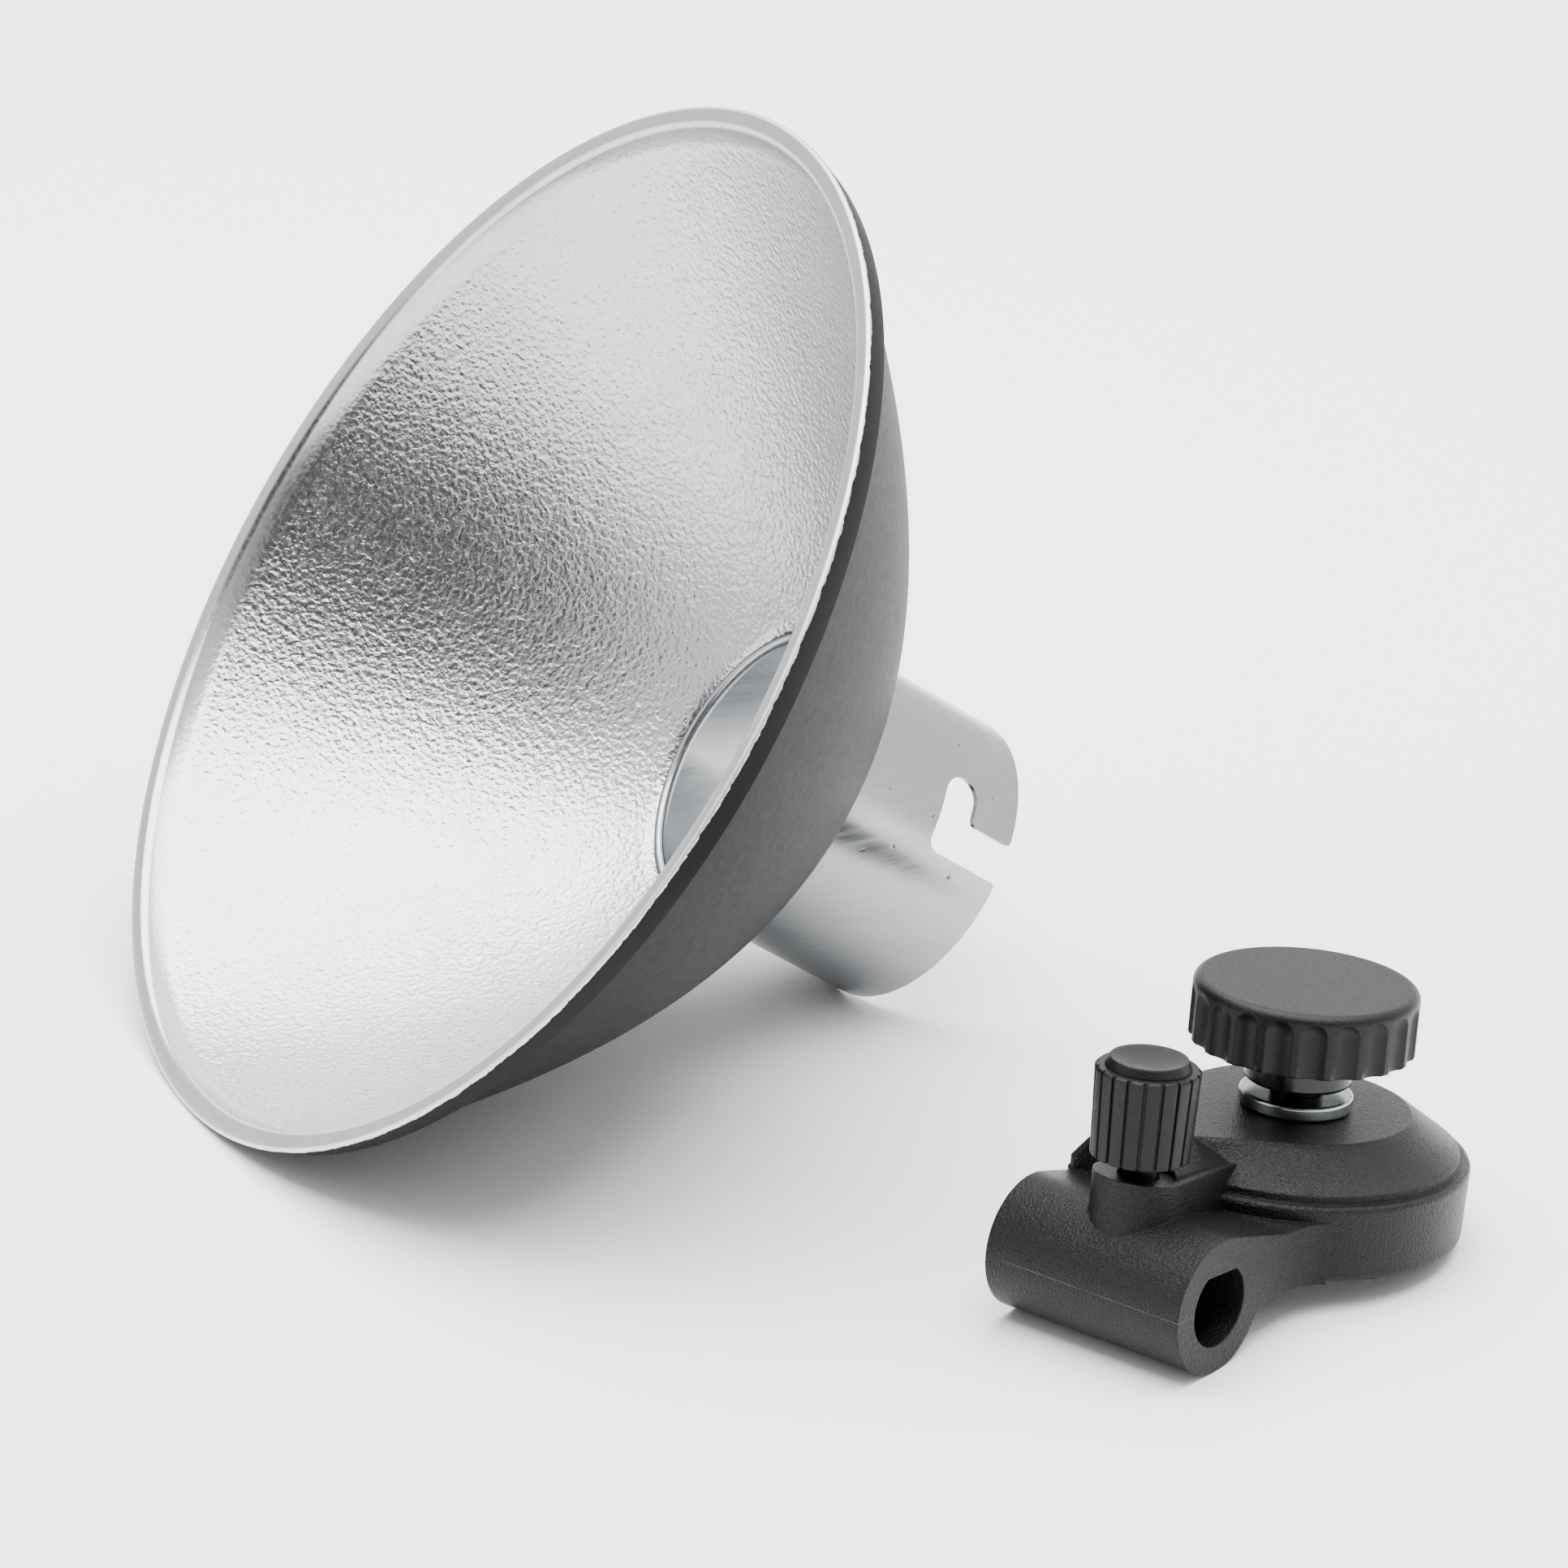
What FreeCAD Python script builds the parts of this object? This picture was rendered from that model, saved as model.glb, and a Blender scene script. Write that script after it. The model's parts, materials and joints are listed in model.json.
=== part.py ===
"""Reflector and umbrella bracket of a compact studio flash, lying side by side on a table.

Millimetres, +Z up, the table top at Z = 0.  X runs along the umbrella bore of the bracket.
"""
import FreeCAD, Part
import math
import os

V = FreeCAD.Vector

# ---------------------------------------------------------------- reflector sizes
rim_radius = 90.0            # 7 inch dish, over its turned rim
rim_land = 3.5               # flat front land of the rim, seen from the front
skirt_depth = 4.4            # how far the rim is turned back
skirt_draft = 1.4            # the turned back skirt leans in by this much
sheet = 1.0                  # spun aluminium sheet
sheet_bend = 0.35            # inside radius where the sheet is folded
bowl_apex = 65.1             # where the outside parabola would close, from the rim plane
bowl_focus = (rim_radius - rim_land) ** 2 / (4 * (bowl_apex - skirt_depth))
land_fillet = 1.6            # soft step between rim land and bowl
rim_round = 0.6              # rounding of the rim's outer edge
neck_radius = 24.95          # outside of the neck tube
neck_wall = 1.0
neck_end = 92.7              # end of the neck, from the rim plane
lip_roll = 0.95              # half thickness of the rolled lip inside the dish
lip_inset = 0.52             # its middle lies this far inside the wall
lip_gap = 0.35               # between the lip's middle and the bowl
slot_width = 6.6             # bayonet slot
slot_leg_place = 81.0        # middle of the slot's turned leg, from the rim plane
slot_leg_length = 6.85       # along the tube wall, from the entry's middle to the leg's end
slot_entry_angle = 71.3      # turn of the first slot about the neck, from the top
slot_count = 2
slot_corner = 1.2            # rounding of the slot's inner corner
slot_outer_corner = 2.2      # and of the outer one
slot_mouth = 0.9             # rounding where the slot leaves the end of the neck

# ---------------------------------------------------------------- bracket sizes
disc_radius = 26.9           # round clamp disc
disc_depth = 18.0            # from its plateau to its underside
plateau_radius = disc_radius - 9.0
cone_radius = disc_radius - 1.8      # foot of the sloping top
cone_drop = 5.2
step_drop = 1.2              # small step between the cone and the shoulder
step_lean = 0.3              # the step is wider at its foot by this much
shoulder_chamfer = 0.7
disc_bottom_round = 1.0
plateau_round = 0.5
tip_across = disc_radius + 6.1       # back corner of the housing, towards the umbrella tube
tip_along = -17.4            # and along the tube
tip_round = 1.0
tip_lean_across = 1.2        # the plateau's corner lies this much further in, both ways
tip_lean_along = 4.3
cone_foot_lean = 0.08        # share of that lean already taken at the foot of the cone
cone_head_lean = 0.9         # and at its head, where the plateau's edge starts
round_share = 0.3            # a two-step rounding turns at this share of its size
disc_draft = 0.3             # the rim wall is narrower at its bottom
tube_offset = disc_radius + 15.4     # umbrella tube axis from the disc axis
tube_drop = 15.7             # and below the plateau
tube_radius = 10.2
tube_length = 34.2
tube_shift = 0.85            # middle of the tube along its axis, from the disc axis
bore_radius = 6.1            # takes umbrella shafts of 8 to 10 mm
web_top_drop = 8.7           # top of the web where it meets the disc
web_fillet = 8.0             # rounding between web and disc, seen from above
web_under_fillet = 4.0       # rounding under the web, between tube and disc
web_sink = 0.6               # the web's top starts this far inside the rim wall
web_core = 5.0               # the web reaches in to this distance from the disc axis
boss_radius = 6.6            # boss under the lock knob
boss_shift = 1.9             # its place along the tube
boss_top = 0.5               # top of the boss over the plateau, at its outer side
boss_slope = 7.0             # degrees, the top falls towards the disc
boss_nose_half = 3.2         # half width of the boss where it runs into the disc
boss_nose_reach = disc_radius - 7.9  # and how far from the disc axis it ends

# ridge from the plateau to the boss: outline in the tube's direction and height at its two ends
ridge_inner = 17.0           # inner end, from the disc axis
ridge_outer = tube_offset - 3.3      # outer end, under the lock knob
ridge_at_inner = [(3.6, -12.0), (3.6, -3.6), (-5.0, -0.05), (-5.5, -0.05), (-6.5, -0.1), (-6.5, -12.0)]
ridge_at_outer = [(6.2, -12.0), (6.2, -0.3), (5.7, -0.05), (-3.0, -0.05), (-6.3, -2.0), (-6.3, -12.0)]
pocket_radius = 5.4          # round pocket in the ridge, about the lock screw

# tooth ring and recess in the underside
recess_radius = disc_radius - 5.9
recess_depth = 3.5
ring_bore = recess_radius - 8.0
tooth_count = 36
tooth_height = 1.1
ring_below = 0.1             # teeth stay this far inside the disc's underside

# clamp knob, its bolt, collar and washer
bolt_radius = 4.0            # M8
bolt_hole_gap = 0.2
bolt_reach = 2.5             # bolt tip below the disc's underside
bolt_tip_chamfer = 0.8
bolt_relief_radius = bolt_radius - 0.6       # groove where the thread runs out
bolt_relief = 0.9
bolt_head_flats = 3.25 * bolt_radius
bolt_head_height = 5.3
washer_radius = bolt_radius + 4.55
washer_thick = 2.3
washer_bore_gap = 0.3
washer_round = 0.5
clamp_gap = 1.7              # play between the washer and the collar as it lies
collar_radius = bolt_radius + 4.1
collar_round = 0.6
collar_bore_gap = 0.05
knob_radius = 16.9
knob_bottom = 9.6            # over the plateau
knob_top = 19.3
knob_edge_round = 1.4
knob_bottom_round = 0.4
flute_count = 21
flute_radius = 3.2
flute_depth = 0.85
flute_stop = 1.9             # the flutes' arched ends start this far under the edge rounding
knob_skin = 1.8              # moulding over the bolt's head
head_gap = 0.2               # between the lock screw's head and the cap over it

# lock knob, its screw, insert and shoe
lock_radius = 7.7
lock_bottom = 2.7            # over the plateau
lock_top = 16.0
lock_taper = 0.45            # narrower at its bottom by this much
lock_chamfer = 0.35
rib_count = 19
rib_groove_width = 0.55
rib_groove_depth = 0.55
lock_cap_radius = lock_radius - 1.4
lock_cap_step = 0.6          # its seat and its top are smaller by this much
lock_cap_rim = 1.0           # width of its rim outside the shallow dish
lock_cap_rise = 1.4
lock_cap_dish = 0.5
lock_cap_seat = 1.4
screw_radius = 3.0           # M6
screw_head_flats = 3.0 * screw_radius
screw_head_height = 3.6
insert_radius = screw_radius + 1.3
insert_length = 4.6
shoe_thick = 1.2
shoe_width = 7.0
shoe_margin = 1.6            # shoe ends short of the tube's faces by this much
shoe_gap = 0.15
thread_fit = 0.03
shank_fit = 0.02             # screw end in the shoe
dog_share = 0.6              # the screw's end is turned down to this share of its radius
dog_length = 0.7
dog_gap = 0.05               # between the screw's end faces and the shoe

# cutting bodies
past = 1.0                   # a cutter runs past the surface it opens by this much
block = 120.0                # side of a cutter that takes away all beyond a plane

# ---------------------------------------------------------------- where the two things lie
reflector_turn = 64.05       # compass direction of the reflector's axis, from X
bracket_ahead = rim_radius + 46.8      # plateau centre from the middle of the rim, along X
bracket_aside = 28.7                   # and along Y


# ---------------------------------------------------------------- helpers
def save(node, shape):
    if len(shape.Solids) == 1:
        shape = shape.Solids[0]
    shape.exportStep("parts/" + node + ".step")


def cylinder(radius, low, high, x=0.0, y=0.0):
    return Part.makeCylinder(radius, high - low, V(x, y, low))


def hexagon(flats, low, high, x=0.0, y=0.0):
    points = []
    for k in range(7):
        angle = math.radians(60 * k)
        points.append(V(x + flats / math.sqrt(3) * math.cos(angle),
                        y + flats / math.sqrt(3) * math.sin(angle), low))
    return Part.Face(Part.makePolygon(points)).extrude(V(0, 0, high - low))


def revolve(edges):
    """Solid of revolution about Z from a closed outline in the XZ plane."""
    return Part.Face(Part.Wire(edges)).revolve(V(0, 0, 0), V(0, 0, 1), 360)


def line(a, b):
    return Part.LineSegment(a, b).toShape()


def circle_edges(shape, radius, z, tolerance=0.02):
    """Round edges of a given radius lying at height z, whatever their centre."""
    found = []
    for edge in shape.Edges:
        if not hasattr(edge.Curve, "Radius"):
            continue
        middle = edge.valueAt((edge.FirstParameter + edge.LastParameter) / 2)
        if abs(edge.Curve.Radius - radius) < tolerance and abs(middle.z - z) < tolerance:
            found.append(edge)
    return found


# ---------------------------------------------------------------- reflector, along its own axis
def bowl_point(place, inward):
    """Point of the bowl's section: place is measured from the rim plane along the axis."""
    radius = math.sqrt(4 * bowl_focus * (bowl_apex - place))
    slope = 2 * bowl_focus / radius
    length = math.hypot(1, slope)
    return V(radius - inward / length, 0, place - inward * slope / length)


def bowl_curve(first, last, inward):
    count = 14
    points = []
    for k in range(count + 1):
        points.append(bowl_point(first + (last - first) * k / count, inward))
    curve = Part.BSplineCurve()
    curve.interpolate(points)
    return curve.toShape(), points[0], points[-1]


def make_dish():
    hole_place = bowl_apex - neck_radius ** 2 / (4 * bowl_focus)
    outside, out_rim, out_hole = bowl_curve(skirt_depth, hole_place, 0.0)
    inside, in_rim, in_hole = bowl_curve(skirt_depth, hole_place, sheet)
    land_inner = rim_radius - rim_land
    skirt_back = rim_radius - skirt_draft
    corner = math.sin(math.radians(45))
    bend = sheet_bend
    a = V(out_rim.x, 0, sheet + bend)
    b = V(out_rim.x + bend, 0, sheet)
    a_mid = V(out_rim.x + bend - bend * corner, 0, sheet + bend - bend * corner)
    c = V(rim_radius - sheet - bend, 0, sheet)
    d = V(rim_radius - sheet, 0, sheet + bend)
    c_mid = V(rim_radius - sheet - bend + bend * corner, 0, sheet + bend - bend * corner)
    e = V(skirt_back - sheet, 0, skirt_depth)
    f = V(skirt_back, 0, skirt_depth)
    g = V(rim_radius, 0, rim_round)
    h = V(rim_radius - rim_round, 0, 0)
    g_mid = V(rim_radius - rim_round + rim_round * corner, 0, rim_round - rim_round * corner)
    i = V(land_inner + land_fillet, 0, 0)
    j = V(land_inner, 0, land_fillet)
    i_mid = V(land_inner + land_fillet - land_fillet * corner, 0,
              land_fillet - land_fillet * corner)
    edges = [outside, line(out_rim, a), Part.Arc(a, a_mid, b).toShape(), line(b, c),
             Part.Arc(c, c_mid, d).toShape(), line(d, e), line(e, f), line(f, g),
             Part.Arc(g, g_mid, h).toShape(), line(h, i), Part.Arc(i, i_mid, j).toShape(),
             line(j, in_rim), inside, line(in_hole, out_hole)]
    dish = revolve(Part.__sortEdges__(edges))
    return dish.cut(cylinder(neck_radius, skirt_depth, bowl_apex))


def make_neck():
    """Neck tube with its bayonet slots, rolled over inside the dish."""
    hole_place = bowl_apex - neck_radius ** 2 / (4 * bowl_focus)
    lip_place = hole_place - sheet - lip_gap
    inner = neck_radius - neck_wall
    tube = cylinder(neck_radius, lip_place, neck_end)
    tube = tube.cut(cylinder(inner, lip_place - past, neck_end + past))
    lip = Part.makeTorus(inner + lip_inset, lip_roll, V(0, 0, lip_place), V(0, 0, 1))
    neck = tube.fuse(lip)
    slot = make_slot_cutter()
    for k in range(slot_count):
        cutter = slot.copy()
        cutter.rotate(V(0, 0, 0), V(0, 0, 1), slot_entry_angle + 360.0 * k / slot_count)
        neck = neck.cut(cutter)
    return neck.removeSplitter()


def make_slot_cutter():
    """One L-shaped bayonet slot at angle 0, punched square through the wall."""
    half = slot_width / 2
    top = neck_end + past
    floor = slot_leg_place - half
    step = slot_leg_place + half
    outer = slot_outer_corner
    leg = neck_radius * math.sin(slot_leg_length / neck_radius)

    def point(along, place):
        return V(0, along, place)

    def bend(start, centre, stop):
        middle = (start - centre) + (stop - centre)
        middle = centre + middle.normalize() * (start - centre).Length
        return Part.Arc(start, middle, stop).toShape()

    a = point(half + slot_mouth, top)
    b = point(half + slot_mouth, neck_end)
    c = point(half, neck_end - slot_mouth)
    d = point(half, floor + outer)
    e = point(half - outer, floor)
    f = point(-leg, floor)
    g = point(-leg, step)
    h = point(-half - slot_corner, step)
    i = point(-half, step + slot_corner)
    j = point(-half, neck_end - slot_mouth)
    k = point(-half - slot_mouth, neck_end)
    m = point(-half - slot_mouth, top)
    edges = [line(a, b), bend(b, point(half + slot_mouth, neck_end - slot_mouth), c), line(c, d),
             bend(d, point(half - outer, floor + outer), e), line(e, f),
             Part.Arc(f, point(-leg - half, slot_leg_place), g).toShape(), line(g, h),
             bend(h, point(-half - slot_corner, step + slot_corner), i), line(i, j),
             bend(j, point(-half - slot_mouth, neck_end - slot_mouth), k), line(k, m), line(m, a)]
    cutter = Part.Face(Part.Wire(edges)).extrude(V(neck_radius, 0, 0))
    cutter.translate(V(neck_radius / 2, 0, 0))
    return cutter


def reflector_placement():
    """Lies on its rim and on the end of its neck."""
    reach = rim_radius - rim_round - neck_radius
    length = neck_end - rim_round
    dip = math.atan2(reach, length) + math.asin(rim_round / math.hypot(reach, length))
    height = neck_radius * math.cos(dip) + neck_end * math.sin(dip)
    turn = math.radians(reflector_turn)
    top = V(math.cos(turn) * math.sin(dip), math.sin(turn) * math.sin(dip), math.cos(dip))
    axis = V(math.cos(turn) * math.cos(dip), math.sin(turn) * math.cos(dip), -math.sin(dip))
    side = axis.cross(top)
    return FreeCAD.Placement(FreeCAD.Matrix(top.x, side.x, axis.x, 0, top.y, side.y, axis.y, 0,
                                            top.z, side.z, axis.z, height, 0, 0, 0, 1))


# ---------------------------------------------------------------- bracket, plateau centre at 0
def hull_outline(radius, x, y, small, z):
    """Outline round a circle at the centre and a smaller one at x, y."""
    reach = math.hypot(x, y)
    middle = math.atan2(y, x)
    half = math.acos((radius - small) / reach)

    def at(cx, cy, r, angle):
        return V(cx + r * math.cos(angle), cy + r * math.sin(angle), z)

    a = at(0, 0, radius, middle + half)
    b = at(0, 0, radius, middle - half)
    c = at(x, y, small, middle - half)
    d = at(x, y, small, middle + half)
    edges = [Part.Arc(a, at(0, 0, radius, middle + math.pi), b).toShape(), line(b, c),
             Part.Arc(c, at(x, y, small, middle), d).toShape(), line(d, a)]
    return Part.Wire(edges)


def deck_section(radius, lean, z):
    """Section of the clamp disc, drawn out to its back corner by the tube.

    lean runs from 0 at the shoulder to 1 at the plateau.
    """
    inset = disc_radius - radius if lean == 0 else 0
    x = tip_along + tip_lean_along * lean + inset + tip_round
    y = -tip_across + tip_lean_across * lean + inset + tip_round
    return hull_outline(radius, x, y, tip_round, z)


def make_deck():
    shoulder = -(cone_drop + step_drop)
    foot = [deck_section(disc_radius - disc_draft - disc_bottom_round, 0, -disc_depth),
            deck_section(disc_radius - disc_draft - disc_bottom_round * round_share, 0,
                         -disc_depth + disc_bottom_round * round_share),
            deck_section(disc_radius - disc_draft, 0, -disc_depth + disc_bottom_round),
            deck_section(disc_radius, 0, shoulder - shoulder_chamfer),
            deck_section(disc_radius - shoulder_chamfer * round_share, 0,
                         shoulder - shoulder_chamfer * round_share),
            deck_section(disc_radius - shoulder_chamfer, 0, shoulder)]
    step = [deck_section(cone_radius + step_lean, cone_foot_lean, shoulder - past),
            deck_section(cone_radius, cone_foot_lean, -cone_drop)]
    top = [deck_section(cone_radius, cone_foot_lean, -cone_drop),
           deck_section(plateau_radius + plateau_round, cone_head_lean, -plateau_round),
           deck_section(plateau_radius - plateau_round, 1.0, 0)]
    deck = Part.makeLoft(foot, True, True)
    deck = deck.fuse(Part.makeLoft(step, True, True))
    return deck.fuse(Part.makeLoft(top, True, True))


def tube_ends():
    return tube_shift - tube_length / 2, tube_shift + tube_length / 2


def web_blend(face):
    """Rounding between a web face and the disc, seen from above."""
    sign = 1 if face > 0 else -1
    out = abs(face) + web_fillet
    down = -math.sqrt((disc_radius + web_fillet) ** 2 - out ** 2)
    share = disc_radius / (disc_radius + web_fillet)
    on_face = V(face, down, 0)
    on_disc = V(sign * out * share, down * share, 0)
    towards = V(sign * out, down, 0)
    half_way = (on_face - towards) + (on_disc - towards)
    middle = towards + half_way.normalize() * web_fillet
    return on_face, middle, on_disc


def make_web():
    """Web between disc and tube: its plan and its side profile, crossed."""
    back, front = tube_ends()
    bottom = -tube_drop - tube_radius - past
    b_face, b_mid, b_disc = web_blend(back)
    f_face, f_mid, f_disc = web_blend(front)
    corner_b = V(back, -tube_offset, 0)
    corner_f = V(front, -tube_offset, 0)
    plan = [line(corner_b, b_face), Part.Arc(b_face, b_mid, b_disc).toShape(),
            line(b_disc, V(0, 0, 0)), line(V(0, 0, 0), f_disc),
            Part.Arc(f_disc, f_mid, f_face).toShape(), line(f_face, corner_f),
            line(corner_f, corner_b)]
    prism = Part.Face(Part.Wire(plan)).extrude(V(0, 0, -bottom))
    prism.translate(V(0, 0, bottom))

    centre = V(0, -tube_offset, -tube_drop)
    root = V(0, -disc_radius + web_sink, -web_top_drop)
    span = root - centre
    lean = math.acos(tube_radius / span.Length)
    aim = math.atan2(span.z, span.y) + lean
    top_touch = centre + V(0, math.cos(aim), math.sin(aim)) * tube_radius
    fillet_z = -disc_depth - web_under_fillet
    fillet_y = -tube_offset + math.sqrt((tube_radius + web_under_fillet) ** 2
                                        - (fillet_z + tube_drop) ** 2)
    under = V(0, fillet_y, fillet_z)
    low_touch = centre + (under - centre) * (tube_radius / (tube_radius + web_under_fillet))
    flat_touch = V(0, fillet_y, -disc_depth)
    half_way = (low_touch - under) + (flat_touch - under)
    low_mid = under + half_way.normalize() * web_under_fillet
    inner_low = V(0, -web_core, -disc_depth)
    inner_top = V(0, -web_core, -web_top_drop)
    side = [line(root, top_touch), line(top_touch, centre), line(centre, low_touch),
            Part.Arc(low_touch, low_mid, flat_touch).toShape(), line(flat_touch, inner_low),
            line(inner_low, inner_top), line(inner_top, root)]
    profile = Part.Face(Part.Wire(side)).extrude(V(block, 0, 0))
    profile.translate(V(-block / 2, 0, 0))
    return prism.common(profile)


def make_boss():
    outline = hull_outline(boss_radius, 0, tube_offset - boss_nose_reach - boss_nose_half,
                           boss_nose_half, -tube_drop)
    boss = Part.Face(outline).extrude(V(0, 0, tube_drop + boss_top + past))
    boss.translate(V(boss_shift, -tube_offset, 0))
    cutter = Part.makeBox(block, block, block, V(-block / 2, -block / 2, 0))
    cutter.rotate(V(0, 0, 0), V(1, 0, 0), -boss_slope)
    cutter.translate(V(boss_shift, -tube_offset - boss_radius, boss_top))
    return boss.cut(cutter)


def make_ridge():
    """Ridge between the plateau and the boss, with a round pocket about the lock screw."""
    sections = []
    for reach, outline in ((ridge_inner, ridge_at_inner), (ridge_outer, ridge_at_outer)):
        points = [V(along, -reach, z) for along, z in outline]
        sections.append(Part.makePolygon(points + points[:1]))
    ridge = Part.makeLoft(sections, True, True)
    return ridge.cut(cylinder(pocket_radius, -tube_drop, past, boss_shift, -tube_offset))


def tube_solid(radius, grow=0.0):
    back, front = tube_ends()
    return Part.makeCylinder(radius, front - back + 2 * grow, V(back - grow, -tube_offset, -tube_drop),
                             V(1, 0, 0))


def shoe_flat():
    """Height of the flat that the shoe closes, at the top of the bore."""
    return -tube_drop + math.sqrt(bore_radius ** 2 - (shoe_width / 2) ** 2)


def shoe_box(gap, thick):
    back, front = tube_ends()
    length = front - back - 2 * shoe_margin
    return Part.makeBox(length + 2 * gap, shoe_width + 2 * gap, thick,
                        V(back + shoe_margin - gap, -tube_offset - shoe_width / 2 - gap, shoe_flat()))


def make_housing():
    housing = make_deck().fuse(make_web())
    housing = housing.fuse(tube_solid(tube_radius))
    housing = housing.fuse(make_ridge())
    housing = housing.fuse(make_boss()).removeSplitter()
    flat_cut = Part.makeBox(block, block, block, V(-block / 2, -tube_offset - block / 2, shoe_flat()))
    housing = housing.cut(tube_solid(bore_radius, past).cut(flat_cut))
    housing = housing.cut(shoe_box(shoe_gap, shoe_thick + shoe_gap))
    housing = housing.cut(cylinder(bolt_radius + bolt_hole_gap, -disc_depth - past, past))
    housing = housing.cut(cylinder(recess_radius, -disc_depth - past, -disc_depth + recess_depth))
    roof = shoe_flat() + shoe_thick + shoe_gap
    housing = housing.cut(cylinder(insert_radius, roof - past, roof + insert_length,
                                   boss_shift, -tube_offset))
    return housing.cut(cylinder(screw_radius + shoe_gap, roof, boss_top + past,
                                boss_shift, -tube_offset))


def make_tooth_ring():
    """Ring of radial teeth facing down, seated in the underside."""
    top = -disc_depth + recess_depth
    low = -disc_depth + ring_below
    ring = cylinder(recess_radius, low, top).cut(cylinder(ring_bore, low - past, top + past))
    half = math.pi * recess_radius / tooth_count
    groove = []
    for reach in (ring_bore - past, recess_radius + past):
        wide = half * reach / recess_radius
        groove.append(Part.makePolygon([V(reach, -wide, low), V(reach, wide, low),
                                        V(reach, 0, low + tooth_height), V(reach, -wide, low)]))
    cutter = Part.makeLoft(groove, True, True)
    cutters = []
    for k in range(tooth_count):
        turned = cutter.copy()
        turned.rotate(V(0, 0, 0), V(0, 0, 1), 360.0 * k / tooth_count)
        cutters.append(turned)
    return ring.cut(Part.makeCompound(cutters))


def make_clamp_bolt():
    head_top = knob_top - knob_skin
    head_low = head_top - bolt_head_height
    tip = -disc_depth - bolt_reach
    roof = -disc_depth + recess_depth
    shank = cylinder(bolt_radius, roof, head_low)
    shank = shank.fuse(cylinder(bolt_relief_radius, roof - bolt_relief, roof))
    shank = shank.fuse(cylinder(bolt_radius, tip + bolt_tip_chamfer, roof - bolt_relief))
    point = Part.makeCone(bolt_radius - bolt_tip_chamfer, bolt_radius, bolt_tip_chamfer,
                          V(0, 0, tip))
    return shank.fuse(point).fuse(hexagon(bolt_head_flats, head_low, head_top)).removeSplitter()


def make_clamp_knob(bolt):
    knob = cylinder(knob_radius, knob_bottom, knob_top)
    knob = knob.makeFillet(knob_edge_round, circle_edges(knob, knob_radius, knob_top))
    knob = knob.makeFillet(knob_bottom_round, circle_edges(knob, knob_radius, knob_bottom))
    reach = knob_radius + flute_radius - flute_depth
    flute_end = knob_top - knob_edge_round - flute_stop
    flutes = []
    for k in range(flute_count):
        angle = 2 * math.pi * k / flute_count
        x = reach * math.cos(angle)
        y = reach * math.sin(angle)
        flutes.append(cylinder(flute_radius, knob_bottom - past, flute_end, x, y))
        flutes.append(Part.makeSphere(flute_radius, V(x, y, flute_end)))
    for flute in flutes:
        knob = knob.cut(flute)
    return knob.cut(bolt)


def make_washer():
    washer = cylinder(washer_radius, 0, washer_thick)
    washer = washer.makeFillet(washer_round, circle_edges(washer, washer_radius, washer_thick))
    washer = washer.makeFillet(washer_round, circle_edges(washer, washer_radius, 0))
    return washer.cut(cylinder(bolt_radius + washer_bore_gap, -past, washer_thick + past))


def make_collar():
    low = washer_thick + clamp_gap
    collar = cylinder(collar_radius, low, knob_bottom)
    collar = collar.makeFillet(collar_round, circle_edges(collar, collar_radius, low))
    return collar.cut(cylinder(bolt_radius + collar_bore_gap, low - past, knob_bottom + past))


def make_lock_screw():
    head_top = lock_top - lock_cap_seat - head_gap
    head_low = head_top - screw_head_height
    tip = shoe_flat() + shoe_thick + dog_gap
    shank = cylinder(screw_radius, tip, head_low, boss_shift, -tube_offset)
    dog = cylinder(screw_radius * dog_share, tip - dog_length, tip, boss_shift, -tube_offset)
    head = hexagon(screw_head_flats, head_low, head_top, boss_shift, -tube_offset)
    return shank.fuse(dog).fuse(head).removeSplitter()


def make_lock_knob(screw):
    knob = Part.makeCone(lock_radius - lock_taper, lock_radius, lock_top - lock_bottom,
                         V(boss_shift, -tube_offset, lock_bottom))
    knob = knob.makeChamfer(lock_chamfer, circle_edges(knob, lock_radius, lock_top))
    lean = math.degrees(math.atan2(lock_taper, lock_top - lock_bottom))
    groove = Part.makeBox(rib_groove_depth + past, rib_groove_width, lock_top - lock_bottom + 2 * past,
                          V(-rib_groove_depth, -rib_groove_width / 2, -past))
    groove.rotate(V(0, 0, 0), V(0, 1, 0), lean)
    for k in range(rib_count):
        cutter = groove.copy()
        cutter.translate(V(lock_radius - lock_taper, 0, lock_bottom))
        cutter.rotate(V(0, 0, 0), V(0, 0, 1), 360.0 * k / rib_count)
        cutter.translate(V(boss_shift, -tube_offset, 0))
        knob = knob.cut(cutter)
    knob = knob.cut(cylinder(lock_cap_radius - lock_cap_step, lock_top - lock_cap_seat,
                             lock_top + past, boss_shift, -tube_offset))
    return knob.cut(screw)


def make_lock_cap():
    """Smooth raised cap with a shallow dish, pressed in over the screw head."""
    seat = cylinder(lock_cap_radius - lock_cap_step, lock_top - lock_cap_seat, lock_top,
                    boss_shift, -tube_offset)
    top = Part.makeCone(lock_cap_radius, lock_cap_radius - lock_cap_step, lock_cap_rise,
                        V(boss_shift, -tube_offset, lock_top))
    rim = lock_cap_radius - lock_cap_rim
    bowl = (rim ** 2 + lock_cap_dish ** 2) / (2 * lock_cap_dish)
    dish = Part.makeSphere(bowl, V(boss_shift, -tube_offset,
                                   lock_top + lock_cap_rise + bowl - lock_cap_dish))
    return seat.fuse(top).cut(dish)


def make_insert():
    """Brass insert in the boss, held from below."""
    roof = shoe_flat() + shoe_thick + shoe_gap
    insert = cylinder(insert_radius, roof, roof + insert_length, boss_shift, -tube_offset)
    return insert.cut(cylinder(screw_radius + thread_fit, roof - past, roof + insert_length + past,
                               boss_shift, -tube_offset))


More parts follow.
